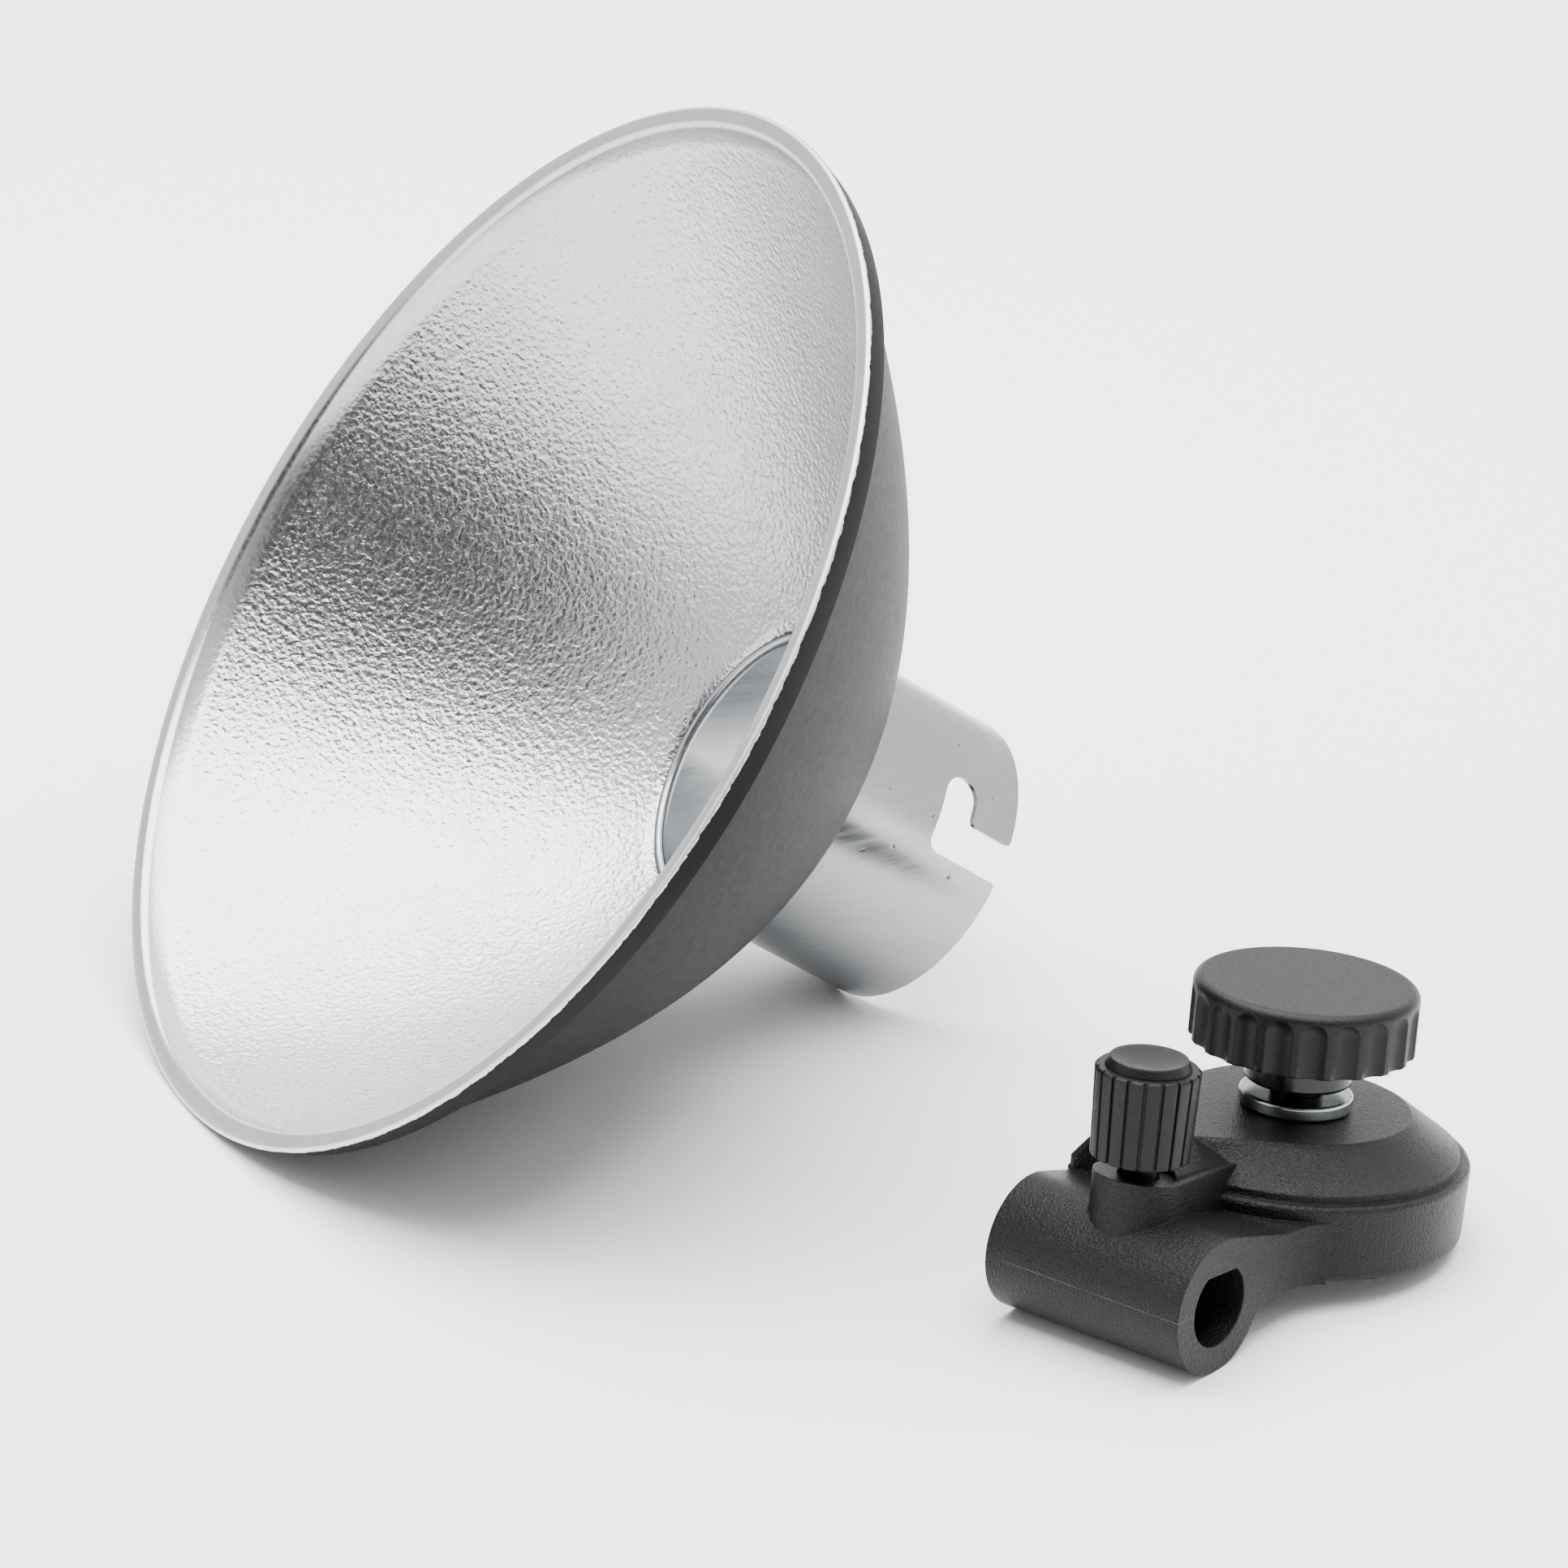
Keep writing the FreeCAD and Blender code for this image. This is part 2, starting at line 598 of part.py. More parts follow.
def make_shoe():
    """Steel strip that the screw presses on the umbrella shaft."""
    shoe = shoe_box(0, shoe_thick)
    pocket = shoe_flat() + shoe_thick - dog_length
    return shoe.cut(cylinder(screw_radius * dog_share + shank_fit, pocket,
                             pocket + dog_length + past, boss_shift, -tube_offset))


def bracket_placement():
    """Lies on its umbrella tube and on the far edge of the disc."""
    across = tube_offset + disc_radius - disc_draft - disc_bottom_round
    rise = (disc_depth - disc_bottom_round) - tube_drop
    drop = tube_radius - disc_bottom_round
    tilt = math.asin(drop / math.hypot(across, rise)) - math.atan2(rise, across)
    height = tube_radius + tube_drop * math.cos(tilt) - tube_offset * math.sin(tilt)
    turn = FreeCAD.Rotation(V(1, 0, 0), -math.degrees(tilt))
    return FreeCAD.Placement(V(0, 0, height), turn), tilt


# ---------------------------------------------------------------- build, lay down and write
def footprint_centre(shapes):
    points = Part.makeCompound(shapes).tessellate(0.05)[0]
    across = [p.x for p in points]
    along = [p.y for p in points]
    return V((min(across) + max(across)) / 2, (min(along) + max(along)) / 2, 0)


def main():
    os.makedirs("parts", exist_ok=True)
    bolt = make_clamp_bolt()
    screw = make_lock_screw()
    dish = make_dish()
    reflector = {"dish": dish, "neck_tube": make_neck().cut(dish)}
    bracket = {
        "bracket_housing": make_housing(),
        "tooth_ring": make_tooth_ring(),
        "lock_insert": make_insert(),
        "clamp_washer": make_washer(),
        "clamp_collar": make_collar(),
        "clamp_knob": make_clamp_knob(bolt),
        "clamp_bolt": bolt,
        "clamp_shoe": make_shoe(),
        "lock_screw": screw,
        "lock_knob": make_lock_knob(screw),
        "lock_knob_cap": make_lock_cap(),
    }
    lie = reflector_placement()
    for shape in reflector.values():
        shape.Placement = lie.multiply(shape.Placement)
    bracket_from_rim = V(bracket_ahead, bracket_aside, 0)
    stand, tilt = bracket_placement()
    for shape in bracket.values():
        shape.Placement = stand.multiply(shape.Placement)
        shape.translate(bracket_from_rim)
    everything = dict(reflector)
    everything.update(bracket)
    centre = footprint_centre(list(everything.values()))
    for node, shape in everything.items():
        shape.translate(centre * -1)
        print(node, "solids", len(shape.Solids), "valid", shape.isValid(), "volume", round(shape.Volume, 1))
        save(node, shape)
    print("rim centre", lie.Base - centre)
    print("plateau centre", bracket_from_rim + stand.Base - centre, "tilt", math.degrees(tilt))


main()
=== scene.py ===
import json
import math
import bmesh
import bpy
from mathutils import Matrix, Vector


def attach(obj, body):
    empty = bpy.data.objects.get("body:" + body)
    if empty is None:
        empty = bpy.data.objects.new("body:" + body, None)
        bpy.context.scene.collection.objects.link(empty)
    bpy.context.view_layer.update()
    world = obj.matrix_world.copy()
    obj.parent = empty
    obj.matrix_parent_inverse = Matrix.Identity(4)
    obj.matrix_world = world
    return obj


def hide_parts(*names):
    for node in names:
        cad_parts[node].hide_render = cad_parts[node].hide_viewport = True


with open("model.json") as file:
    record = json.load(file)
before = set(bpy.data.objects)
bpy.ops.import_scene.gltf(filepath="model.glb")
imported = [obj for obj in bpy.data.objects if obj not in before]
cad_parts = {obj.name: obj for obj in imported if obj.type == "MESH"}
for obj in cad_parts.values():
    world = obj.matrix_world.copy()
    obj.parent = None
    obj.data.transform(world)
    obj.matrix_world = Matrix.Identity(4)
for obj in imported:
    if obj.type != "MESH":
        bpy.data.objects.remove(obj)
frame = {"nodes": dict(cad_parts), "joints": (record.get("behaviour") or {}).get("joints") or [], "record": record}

mm = 0.001
scene = bpy.context.scene
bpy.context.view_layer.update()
nodes = frame["nodes"]
mounts = {mount["name"]: mount for mount in frame["record"]["mounts"]}
joints = {joint["name"]: joint for joint in frame["joints"]}
print("frame loaded")


# the reflector's own frame: z along its axis from the rim to the neck's end, x up
def reflectorFrame(neckMiddle):
    axis = Vector(mounts["neck_bore"]["axis"]).normalized()
    side = axis.cross(Vector((0, 0, 1))).normalized()
    top = side.cross(axis)
    start = Vector(mounts["neck_bore"]["pos_m"]) - axis * neckMiddle * mm
    turn = Matrix((top, axis.cross(top), axis)).transposed().to_4x4()
    return Matrix.Translation(start) @ turn


# rounds the corners of an open outline: [(radius, height, rounding), ...]
def roundedOutline(corners, steps=5, share=0.49):
    points = []
    ends = (0, len(corners) - 1)
    for k, (r, z, rounding) in enumerate(corners):
        here = Vector((r, z))
        if rounding <= 0 or k in ends:
            points.append(here)
            continue
        before = Vector(corners[k - 1][:2]) - here
        after = Vector(corners[k + 1][:2]) - here
        half = before.angle(after) / 2
        reach = min(rounding / math.tan(half), before.length * share, after.length * share)
        radius = reach * math.tan(half)
        inward = (before.normalized() + after.normalized()).normalized()
        middle = here + inward * (radius / math.sin(half))
        first = here + before.normalized() * reach - middle
        last = here + after.normalized() * reach - middle
        sweep = first.angle_signed(last)
        for n in range(steps + 1):
            a = -sweep * n / steps
            points.append(middle + Vector((first.x * math.cos(a) - first.y * math.sin(a),
                                           first.x * math.sin(a) + first.y * math.cos(a))))
    return points


# turns a closed outline about the local z axis; slotOf gives the material of each ring of faces
def turned(name, outline, count, place, slotOf):
    mesh = bpy.data.meshes.new(name)
    bm = bmesh.new()
    angles = [2 * math.pi * n / count for n in range(count)]
    rings = []
    for r, z in outline:
        rings.append([bm.verts.new((r * math.cos(a) * mm, r * math.sin(a) * mm, z * mm)) for a in angles])
    for k, ring in enumerate(rings):
        following = rings[(k + 1) % len(rings)]
        for n in range(count):
            m = (n + 1) % count
            face = bm.faces.new((ring[n], ring[m], following[m], following[n]))
            face.smooth = True
            face.material_index = slotOf(k)
    bmesh.ops.recalc_face_normals(bm, faces=bm.faces)
    bm.to_mesh(mesh)
    bm.free()
    mesh.transform(place)
    piece = bpy.data.objects.new(name, mesh)
    scene.collection.objects.link(piece)
    return piece


# clearing the materials also clears which face wears which, so that is put back
def wear(piece, *materials):
    slots = [polygon.material_index for polygon in piece.data.polygons]
    piece.data.materials.clear()
    for material in materials:
        piece.data.materials.append(material)
    if len(materials) > 1:
        piece.data.polygons.foreach_set("material_index", slots)


def creaseBy(piece, degrees):
    for polygon in piece.data.polygons:
        polygon.use_smooth = True
    piece.data.set_sharp_from_angle(angle=math.radians(degrees))


# node helpers; noiseSpan is where most of a noise texture's values lie
noiseSpan = (0.3, 0.7)


def newMaterial(name):
    material = bpy.data.materials.new(name)
    material.use_nodes = True
    tree = material.node_tree
    return material, tree, tree.nodes["Principled BSDF"]


# links a socket, or sets it when the value is a plain number
def feed(tree, node, sockets):
    for socket, value in sockets.items():
        if isinstance(value, (int, float)):
            node.inputs[socket].default_value = value
        else:
            tree.links.new(value, node.inputs[socket])


# texture coordinates, stretched by scale or measured in a piece's own frame
def placeNode(tree, scale=(1, 1, 1), place=None):
    coords = tree.nodes.new("ShaderNodeTexCoord")
    mapping = tree.nodes.new("ShaderNodeMapping")
    mapping.inputs["Scale"].default_value = scale
    if place is not None:
        mapping.vector_type = "TEXTURE"
        mapping.inputs["Location"].default_value = place.to_translation()
        mapping.inputs["Rotation"].default_value = place.to_euler()
    tree.links.new(coords.outputs["Object"], mapping.inputs["Vector"])
    return mapping.outputs["Vector"]


def noiseNode(tree, vector, scale, detail=4.0, rough=0.55, distort=0.0):
    node = tree.nodes.new("ShaderNodeTexNoise")
    feed(tree, node, {"Vector": vector, "Scale": scale, "Detail": detail, "Roughness": rough,
                      "Distortion": distort})
    return node.outputs["Fac"]


def pebbleNode(tree, vector, scale, smooth):
    node = tree.nodes.new("ShaderNodeTexVoronoi")
    node.feature = "SMOOTH_F1"
    feed(tree, node, {"Vector": vector, "Scale": scale, "Smoothness": smooth})
    return node.outputs["Distance"]


def axisNodes(tree, vector):
    node = tree.nodes.new("ShaderNodeSeparateXYZ")
    tree.links.new(vector, node.inputs[0])
    return node.outputs


# distance from the local z axis
def radiusNode(tree, vector):
    flat = tree.nodes.new("ShaderNodeVectorMath")
    flat.operation = "MULTIPLY"
    flat.inputs[1].default_value = (1, 1, 0)
    tree.links.new(vector, flat.inputs[0])
    length = tree.nodes.new("ShaderNodeVectorMath")
    length.operation = "LENGTH"
    tree.links.new(flat.outputs[0], length.inputs[0])
    return length.outputs["Value"]


# how far a point lies along a direction
def alongNode(tree, vector, direction):
    node = tree.nodes.new("ShaderNodeVectorMath")
    node.operation = "DOT_PRODUCT"
    node.inputs[1].default_value = direction
    tree.links.new(vector, node.inputs[0])
    return node.outputs["Value"]


def rangeNode(tree, value, low, high, toLow=0.0, toHigh=1.0):
    node = tree.nodes.new("ShaderNodeMapRange")
    feed(tree, node, {"Value": value, "From Min": low, "From Max": high, "To Min": toLow, "To Max": toHigh})
    return node.outputs["Result"]


def mathNode(tree, operation, first, second=0.0):
    node = tree.nodes.new("ShaderNodeMath")
    node.operation = operation
    feed(tree, node, {0: first, 1: second})
    return node.outputs[0]


def rampNode(tree, value, low, high, span=noiseSpan):
    node = tree.nodes.new("ShaderNodeValToRGB")
    for element, place, colour in zip(node.color_ramp.elements, span, (low, high)):
        element.position = place
        element.color = (*colour, 1.0)
    tree.links.new(value, node.inputs["Fac"])
    return node.outputs["Color"]


def mixColour(tree, factor, first, second):
    node = tree.nodes.new("ShaderNodeMix")
    node.data_type = "RGBA"
    tree.links.new(factor, node.inputs[0])
    for socket, value in ((node.inputs[6], first), (node.inputs[7], second)):
        if isinstance(value, tuple):
            socket.default_value = (*value, 1.0)
        else:
            tree.links.new(value, socket)
    return node.outputs[2]


def softEdge(tree, radius, samples=4):
    node = tree.nodes.new("ShaderNodeBevel")
    node.samples = samples
    node.inputs["Radius"].default_value = radius
    return node.outputs["Normal"]


def bumpNode(tree, height, distance, strength, normal=None):
    node = tree.nodes.new("ShaderNodeBump")
    feed(tree, node, {"Strength": strength, "Distance": distance, "Height": height})
    if normal is not None:
        tree.links.new(normal, node.inputs["Normal"])
    return node.outputs["Normal"]


# charcoal moulding: fine pebbled grain, a few pale specks, softened edges
mouldLook = {"dark": (0.0038, 0.0035, 0.0042), "light": (0.0060, 0.0056, 0.0066), "cloud": 60.0,
             "grain": 2600.0, "depth": 0.00030, "strength": 0.9, "rough": (0.27, 0.42), "shine": 0.19,
             "edge": 0.00045, "speck": (0.04, 0.04, 0.042), "speckScale": 2300.0, "speckSpan": (0.80, 0.84)}
knobLook = {**mouldLook, "grain": 3200.0, "depth": 0.00014, "strength": 0.6, "rough": (0.30, 0.44)}
# parting line along the tube, in broken stretches in front of the tube's middle
seamLook = {"pale": (0.075, 0.075, 0.078), "span": (0.000025, 0.00005), "breaks": 130.0,
            "breakSpan": (0.42, 0.60), "ahead": (0.004, 0.006)}


# seam: a point on the mould's parting plane and the plane's normal, or nothing
def mouldedNylon(name, look, seam=None):
    material, tree, shader = newMaterial(name)
    vector = placeNode(tree)
    grain = noiseNode(tree, vector, look["grain"], detail=2.0, rough=0.6)
    cloud = noiseNode(tree, vector, look["cloud"], detail=3.0)
    tone = rampNode(tree, cloud, look["dark"], look["light"])
    seed = noiseNode(tree, vector, look["speckScale"], detail=1.0, rough=0.3)
    tone = mixColour(tree, rangeNode(tree, seed, *look["speckSpan"]), tone, look["speck"])
    if seam:
        tone = mixColour(tree, seamLine(tree, vector, seamLook, *seam), tone, seamLook["pale"])
    normal = bumpNode(tree, grain, look["depth"], look["strength"], softEdge(tree, look["edge"]))
    feed(tree, shader, {"Base Color": tone, "Roughness": rangeNode(tree, grain, *noiseSpan, *look["rough"]),
                        "Normal": normal, "Specular IOR Level": look["shine"]})
    return material


def seamLine(tree, vector, look, point, normal):
    offset = mathNode(tree, "SUBTRACT", alongNode(tree, vector, normal), point.dot(normal))
    line = rangeNode(tree, mathNode(tree, "ABSOLUTE", offset), *look["span"], 1.0, 0.0)
    broken = rangeNode(tree, noiseNode(tree, vector, look["breaks"], detail=2.0), *look["breakSpan"])
    near, far = look["ahead"]
    ahead = rangeNode(tree, axisNodes(tree, vector)["Y"], point.y - near, point.y - far)
    return mathNode(tree, "MULTIPLY", mathNode(tree, "MULTIPLY", line, broken), ahead)


# spun aluminium: hammered inside the bowl, plain by the rim
silverLook = {"shade": (0.43, 0.43, 0.45), "base": (0.50, 0.50, 0.515), "cloud": 25.0,
              "cloudSpan": (0.3, 0.65), "pebble": 1050.0, "cells": 1155.0, "cellSmooth": 0.8,
              "cellShare": 0.5, "depth": 0.00025, "strength": 0.85, "polish": 1300.0,
              "rough": (0.20, 0.30), "plainFrom": (0.0845, 0.0862)}


def hammeredSilver(look, place):
    material, tree, shader = newMaterial("hammered silver")
    vector = placeNode(tree, place=place)
    hammered = rangeNode(tree, radiusNode(tree, vector), *look["plainFrom"], 1.0, 0.0)
    pebble = noiseNode(tree, vector, look["pebble"], detail=2.0, rough=0.45, distort=0.4)
    cells = pebbleNode(tree, vector, look["cells"], look["cellSmooth"])
    height = mathNode(tree, "ADD", mathNode(tree, "MULTIPLY", cells, look["cellShare"]), pebble)
    height = mathNode(tree, "MULTIPLY", height, hammered)
    cloud = noiseNode(tree, vector, look["cloud"], detail=3.0)
    polish = noiseNode(tree, vector, look["polish"], detail=2.0)
    feed(tree, shader, {"Base Color": rampNode(tree, cloud, look["shade"], look["base"], look["cloudSpan"]),
                        "Roughness": rangeNode(tree, polish, *noiseSpan, *look["rough"]),
                        "Normal": bumpNode(tree, height, look["depth"], look["strength"]), "Metallic": 1.0})
    return material


# satin charcoal paint that stops raggedly at the bare front edge of the rim
paintLook = {"nearBlack": (0.0095, 0.0095, 0.0108), "bare": (0.66, 0.66, 0.67), "edge": 0.0011,
             "edgeWidth": 0.00012, "chips": 420.0, "ragged": 0.0012, "shine": 0.07, "peel": 700.0,
             "rough": (0.44, 0.50), "depth": 0.00002, "strength": 0.5}


def paintedDish(look, place):
    material, tree, shader = newMaterial("painted dish")
    vector = placeNode(tree, place=place)
    chips = noiseNode(tree, vector, look["chips"], detail=5.0, rough=0.7)
    line = mathNode(tree, "ADD", axisNodes(tree, vector)["Z"],
                    mathNode(tree, "MULTIPLY", chips, look["ragged"]))
    painted = rangeNode(tree, line, look["edge"], look["edge"] + look["edgeWidth"])
    peel = noiseNode(tree, vector, look["peel"], detail=2.0)
    feed(tree, shader, {"Base Color": mixColour(tree, painted, look["bare"], look["nearBlack"]),
                        "Metallic": rangeNode(tree, painted, 0.0, 1.0, 1.0, 0.0),
                        "Roughness": rangeNode(tree, peel, *noiseSpan, *look["rough"]),
                        "Normal": bumpNode(tree, peel, look["depth"], look["strength"]),
                        "Specular IOR Level": look["shine"]})
    return material


# zinc-plated steel: soft streaks, and small dark pits
zincLook = {"dark": (0.33, 0.345, 0.36), "base": (0.42, 0.435, 0.445), "toneSpan": (0.2, 0.8),
            "rough": (0.18, 0.30), "streaks": (18, 18, 260), "streakScale": 3.0, "streakShare": 0.5,
            "cloud": 45.0, "pitScale": 420.0, "pitSpan": (0.74, 0.80), "pit": (0.10, 0.10, 0.11),
            "streakHeight": 0.4, "depth": 0.00006, "strength": 0.5}
washerLook = {**zincLook, "dark": (0.36, 0.40, 0.41), "base": (0.50, 0.54, 0.55), "rough": (0.16, 0.28),
              "streaks": (60, 60, 60)}
# painted shade of the thin gap where the dish meets the neck: a ragged dark ring on the outside of the neck by the
# dish, in metres in the neck's own frame
gapShadeLook = {"wall": (0.0245, 0.0247), "reach": (0.0599, 0.0612), "raggedScale": 160.0,
           "raggedSpan": (0.40, 0.68), "edgeWidth": 0.00008, "nearBlack": (0.006, 0.006, 0.0065)}


def platedSteel(name, look, gapShadePlace=None):
    material, tree, shader = newMaterial(name)
    vector = placeNode(tree)
    streak = noiseNode(tree, placeNode(tree, look["streaks"]), look["streakScale"], detail=5.0, rough=0.6)
    cloud = noiseNode(tree, vector, look["cloud"])
    share = look["streakShare"]
    blend = mathNode(tree, "ADD", mathNode(tree, "MULTIPLY", streak, share),
                     mathNode(tree, "MULTIPLY", cloud, 1 - share))
    tone = rampNode(tree, blend, look["dark"], look["base"], look["toneSpan"])
    pitSeed = noiseNode(tree, vector, look["pitScale"], detail=2.0, rough=0.4)
    pits = rangeNode(tree, pitSeed, *look["pitSpan"])
    tone = mixColour(tree, pits, tone, look["pit"])
    # only the neck gets this: a ragged dark ring of painted shade where the dish meets it
    if gapShadePlace:
        tone = mixColour(tree, gapShadeRing(tree, vector, gapShadeLook, gapShadePlace), tone, gapShadeLook["nearBlack"])
    height = mathNode(tree, "SUBTRACT", mathNode(tree, "MULTIPLY", streak, look["streakHeight"]), pits)
    feed(tree, shader, {"Base Color": tone, "Roughness": rangeNode(tree, streak, *noiseSpan, *look["rough"]),
                        "Normal": bumpNode(tree, height, look["depth"], look["strength"]), "Metallic": 1.0})
    return material


# painted shade for the gap by the dish: how strongly the ring darkens each point of the neck's outside, with a
# ragged end
def gapShadeRing(tree, vector, look, place):
    local = placeNode(tree, place=place)
    outside = rangeNode(tree, radiusNode(tree, local), *look["wall"])
    ragged = noiseNode(tree, vector, look["raggedScale"], rough=0.7)
    end = rangeNode(tree, ragged, *look["raggedSpan"], *look["reach"])
    short = mathNode(tree, "SUBTRACT", end, axisNodes(tree, local)["Z"])
    return mathNode(tree, "MULTIPLY", rangeNode(tree, short, 0.0, look["edgeWidth"]), outside)


# glossy black plastic of the collar
collarLook = {"dark": (0.004, 0.004, 0.0045), "light": (0.0064, 0.0064, 0.0072), "smear": 200.0,
              "rough": (0.12, 0.22), "shine": 0.3, "depth": 0.00002, "strength": 0.3}


def shinyBlack(name, look):
    material, tree, shader = newMaterial(name)
    smear = noiseNode(tree, placeNode(tree), look["smear"], detail=3.0)
    feed(tree, shader, {"Base Color": rampNode(tree, smear, look["dark"], look["light"]),
                        "Roughness": rangeNode(tree, smear, *noiseSpan, *look["rough"]),
                        "Normal": bumpNode(tree, smear, look["depth"], look["strength"]),
                        "Specular IOR Level": look["shine"]})
    return material


# small turned and cast metal pieces
metalLook = {"cloud": 120.0, "grain": 900.0, "rough": (0.22, 0.36), "depth": 0.00003, "strength": 0.4}
steelLook = {**metalLook, "dark": (0.012, 0.012, 0.013), "light": (0.022, 0.022, 0.024)}
castLook = {**metalLook, "dark": (0.38, 0.38, 0.40), "light": (0.55, 0.55, 0.57), "rough": (0.35, 0.50)}
brassLook = {**metalLook, "dark": (0.55, 0.39, 0.16), "light": (0.72, 0.53, 0.23)}


def turnedMetal(name, look):
    material, tree, shader = newMaterial(name)
    vector = placeNode(tree)
    grain = noiseNode(tree, vector, look["grain"], detail=3.0)
    cloud = noiseNode(tree, vector, look["cloud"], detail=3.0)
    feed(tree, shader, {"Base Color": rampNode(tree, cloud, look["dark"], look["light"]),
                        "Roughness": rangeNode(tree, grain, *noiseSpan, *look["rough"]),
                        "Normal": bumpNode(tree, grain, look["depth"], look["strength"]), "Metallic": 1.0})
    return material


# reflector dish, spun from one sheet and folded back at the rim; millimetres
dishSizes = {"rim": 90.0, "land": 3.5, "skirt": 4.4, "draft": 1.4, "sheet": 1.0, "apex": 65.1, "hole": 24.95,
             "rimRound": 0.6, "landRound": 1.6, "foldRound": 0.35, "skirtRound": 0.3,
             "skirtInnerRound": 0.15, "frontHair": 0.001, "steps": 40, "count": 256, "neckMiddle": 76.175}


# the bowl's focal length follows from its opening behind the land and its depth
def bowlFocus(sizes):
    return (sizes["rim"] - sizes["land"]) ** 2 / (4 * (sizes["apex"] - sizes["skirt"]))


# a point of the bowl's section at this height, moved inward by the sheet's thickness
def bowlPoint(height, inward, sizes):
    focus = bowlFocus(sizes)
    radius = math.sqrt(4 * focus * (sizes["apex"] - height))
    slope = 2 * focus / radius
    length = math.hypot(1, slope)
    return (radius - inward / length, height - inward * slope / length)


def buildDish(sizes, place):
    rim, land, skirt, draft, sheet = (sizes[key] for key in ("rim", "land", "skirt", "draft", "sheet"))
    holeHeight = sizes["apex"] - sizes["hole"] ** 2 / (4 * bowlFocus(sizes))
    steps = sizes["steps"]
    rise = skirt - holeHeight
    outside = [bowlPoint(holeHeight + rise * k / steps, 0.0, sizes) for k in range(steps + 1)]
    inside = [bowlPoint(skirt - rise * k / steps, sheet, sizes) for k in range(steps + 1)]
    inside[-1] = (sizes["hole"], inside[-1][1])
    fold = roundedOutline([(rim - land, skirt, 0), (rim - land, sheet, sizes["foldRound"]),
                           (rim - sheet, sheet, sizes["foldRound"]),
                           (rim - draft - sheet, skirt, sizes["skirtInnerRound"]),
                           (rim - draft, skirt, sizes["skirtRound"]), (rim, 0.0, sizes["rimRound"]),
                           (rim - land, 0.0, sizes["landRound"]), (*inside[0], 0)])
    outline = outside + [tuple(point) for point in fold[1:-1]] + inside
    # the paint ends and the bright inside starts at the first point on the front plane
    frontEdge = next(k for k, (r, z) in enumerate(outline) if k > len(outside) and z < sizes["frontHair"])
    return turned("reflectorDish", outline, sizes["count"], place, lambda k: 0 if k < frontEdge else 1)


creases = {"neck": 30, "bracket": 32}  # degrees beyond which an edge stays sharp
reflectorPlace = reflectorFrame(dishSizes["neckMiddle"])
dish = buildDish(dishSizes, reflectorPlace)
wear(dish, paintedDish(paintLook, reflectorPlace), hammeredSilver(silverLook, reflectorPlace))
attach(dish, "reflector")
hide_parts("dish")
wear(nodes["neck_tube"], platedSteel("neck zinc", zincLook, reflectorPlace))
creaseBy(nodes["neck_tube"], creases["neck"])
print("reflector built")


# the bracket's pieces keep their CAD shapes and get their finishes here
tubeSeam = (Vector(mounts["umbrella_bore"]["pos_m"]), Vector(joints["knob_spin"]["axis"]).normalized())
knobNylon = mouldedNylon("knob nylon", knobLook)
blackSteel = turnedMetal("blackened steel", steelLook)
bracketFinishes = {"bracket_housing": mouldedNylon("housing nylon", mouldLook, tubeSeam),
                   "tooth_ring": turnedMetal("cast zinc", castLook),
                   "lock_insert": turnedMetal("brass", brassLook),
                   "clamp_washer": platedSteel("washer zinc", washerLook),
                   "clamp_collar": shinyBlack("collar black", collarLook),
                   "clamp_knob": knobNylon, "clamp_bolt": blackSteel, "clamp_shoe": blackSteel,
                   "lock_screw": blackSteel, "lock_knob": knobNylon, "lock_knob_cap": knobNylon}
for node, material in bracketFinishes.items():
    wear(nodes[node], material)
    creaseBy(nodes[node], creases["bracket"])
print("bracket built")


# pale paper floor
floorLook = {"half": 3.0, "dark": (0.94, 0.94, 0.94), "light": (0.97, 0.97, 0.97), "fleck": 900.0,
             "rough": 0.9, "shine": 0.1}


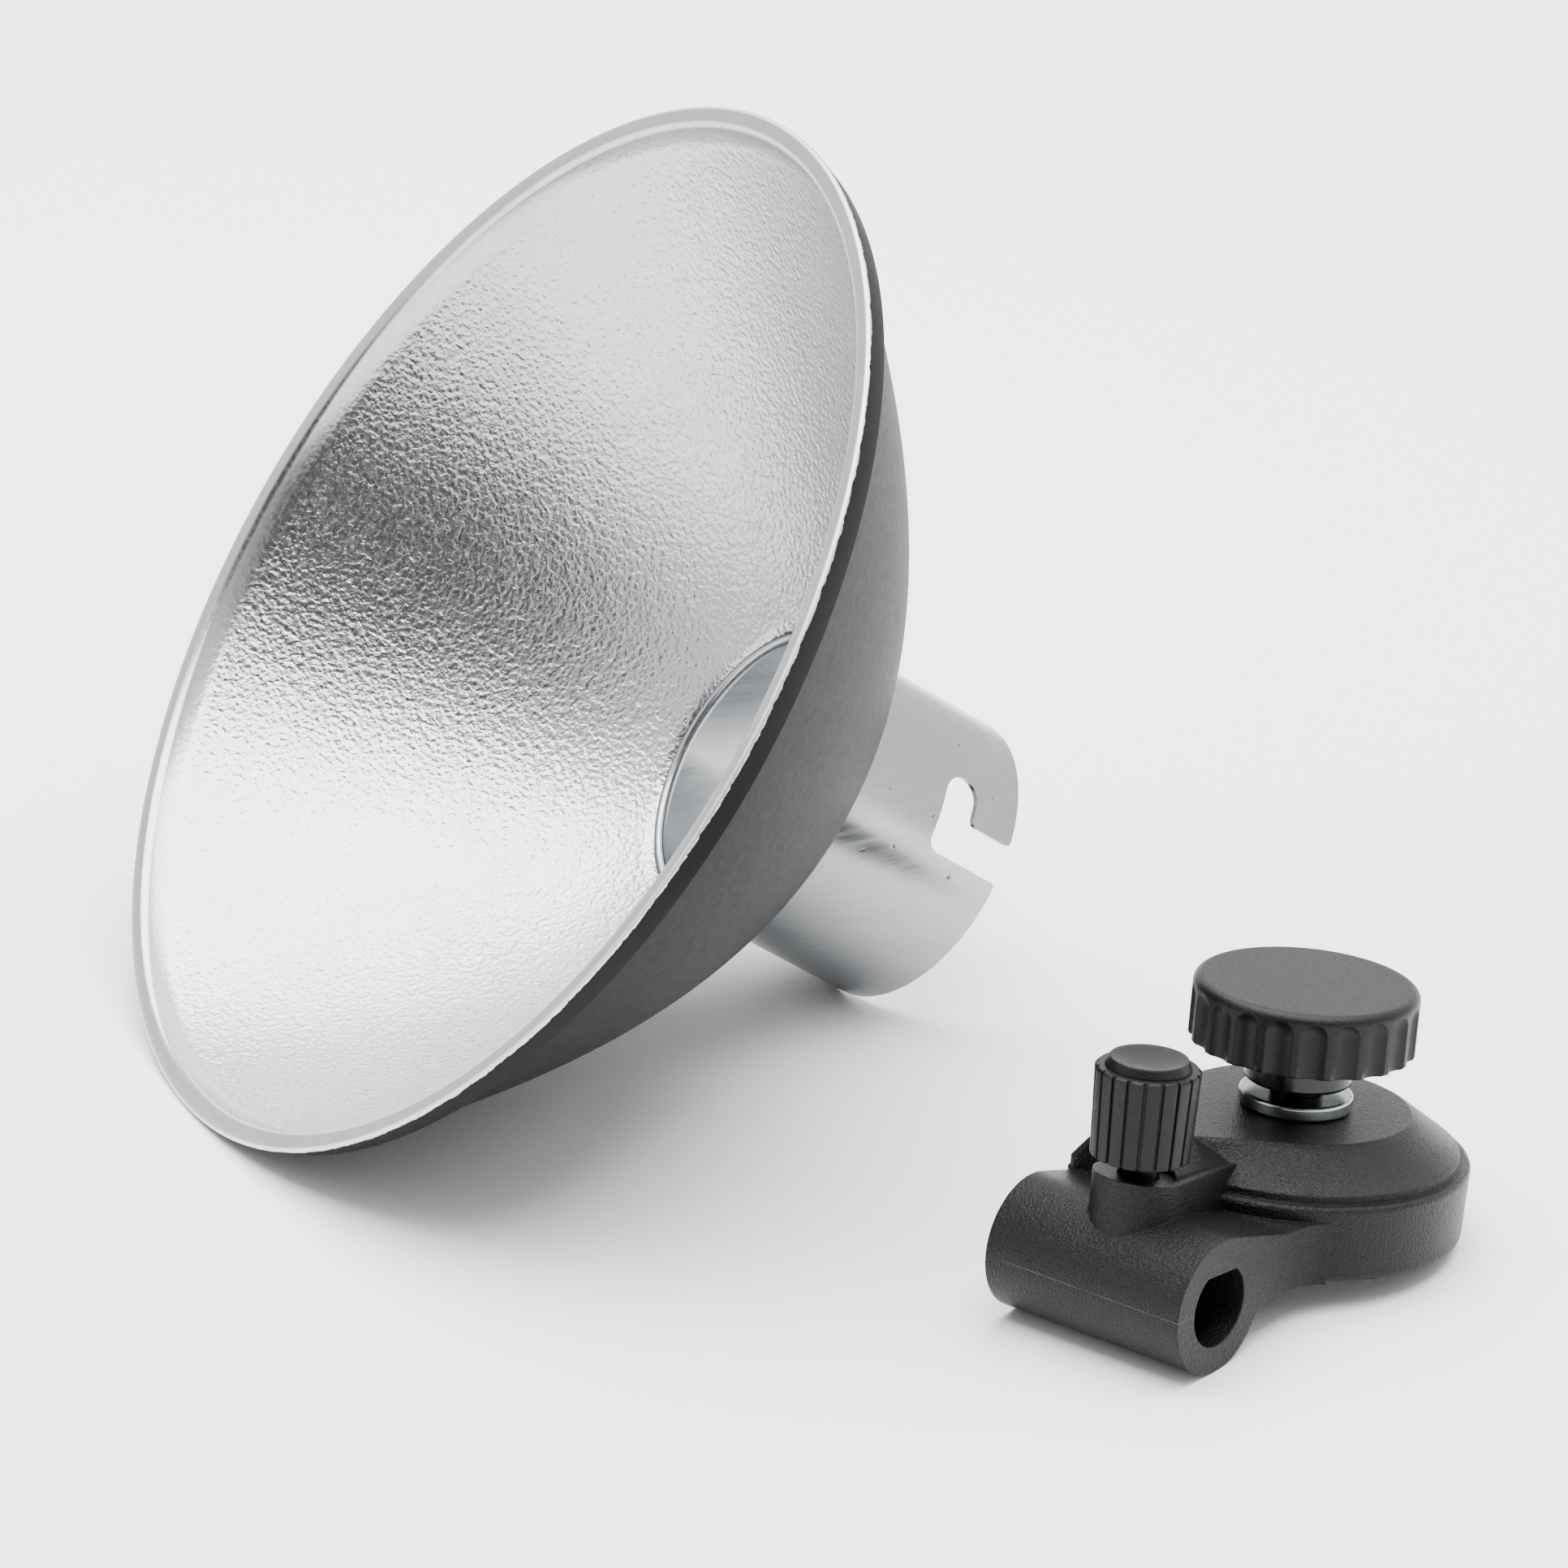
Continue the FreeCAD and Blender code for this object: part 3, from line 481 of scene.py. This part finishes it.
def paleFloor(look):
    half = look["half"]
    mesh = bpy.data.meshes.new("floor")
    corners = [(-half, -half, 0), (half, -half, 0), (half, half, 0), (-half, half, 0)]
    mesh.from_pydata(corners, [], [(0, 1, 2, 3)])
    floor = bpy.data.objects.new("floor", mesh)
    scene.collection.objects.link(floor)
    material, tree, shader = newMaterial("floor paper")
    fleck = noiseNode(tree, placeNode(tree), look["fleck"], detail=2.0)
    feed(tree, shader, {"Base Color": rampNode(tree, fleck, look["dark"], look["light"]),
                        "Roughness": look["rough"], "Specular IOR Level": look["shine"]})
    floor.data.materials.append(material)


# one large soft light overhead
topLight = {"place": (-0.25, 0.1, 1.3), "aim": (-0.25, 0.1, 0.0), "size": (2.0, 1.6), "watts": 80.0}


def addLight(name, look):
    lamp = bpy.data.lights.new(name, "AREA")
    lamp.shape = "RECTANGLE"
    lamp.size, lamp.size_y = look["size"]
    lamp.energy = look["watts"]
    lampObject = bpy.data.objects.new(name, lamp)
    scene.collection.objects.link(lampObject)
    lampObject.location = look["place"]
    aim = Vector(look["aim"]) - Vector(look["place"])
    lampObject.rotation_euler = aim.to_track_quat("-Z", "Y").to_euler()


# pale studio walls, with the unlit end of the room in front of the set
worldLook = {"wall": (1.7, 1.7, 1.72), "dark": (0.10, 0.10, 0.105), "darkTowards": (0.42, -0.85, 0.32),
             "spread": (0.64, 0.93)}


def addWorld(look):
    world = bpy.data.worlds.new("studio")
    world.use_nodes = True
    tree = world.node_tree
    background = tree.nodes["Background"]
    coords = tree.nodes.new("ShaderNodeTexCoord")
    towards = alongNode(tree, coords.outputs["Generated"], Vector(look["darkTowards"]).normalized())
    unlit = rangeNode(tree, towards, *look["spread"])
    tree.links.new(mixColour(tree, unlit, look["wall"], look["dark"]), background.inputs["Color"])
    background.inputs["Strength"].default_value = 1.0
    scene.world = world


# tilt and turn in degrees, lens and sensor in millimetres
cameraLook = {"place": (0.5276, -0.6222, 0.3803), "tilt": 68.1, "turn": 39.65, "lens": 130.43, "sensor": 36.0,
              "clip": (0.05, 20.0)}


def addCamera(look):
    camera = bpy.data.cameras.new("camera")
    camera.lens = look["lens"]
    camera.sensor_width = look["sensor"]
    camera.clip_start, camera.clip_end = look["clip"]
    cameraObject = bpy.data.objects.new("camera", camera)
    scene.collection.objects.link(cameraObject)
    cameraObject.location = look["place"]
    cameraObject.rotation_euler = (math.radians(look["tilt"]), 0, math.radians(look["turn"]))
    scene.camera = cameraObject


paleFloor(floorLook)
addLight("top", topLight)
addWorld(worldLook)
addCamera(cameraLook)
print("studio set")
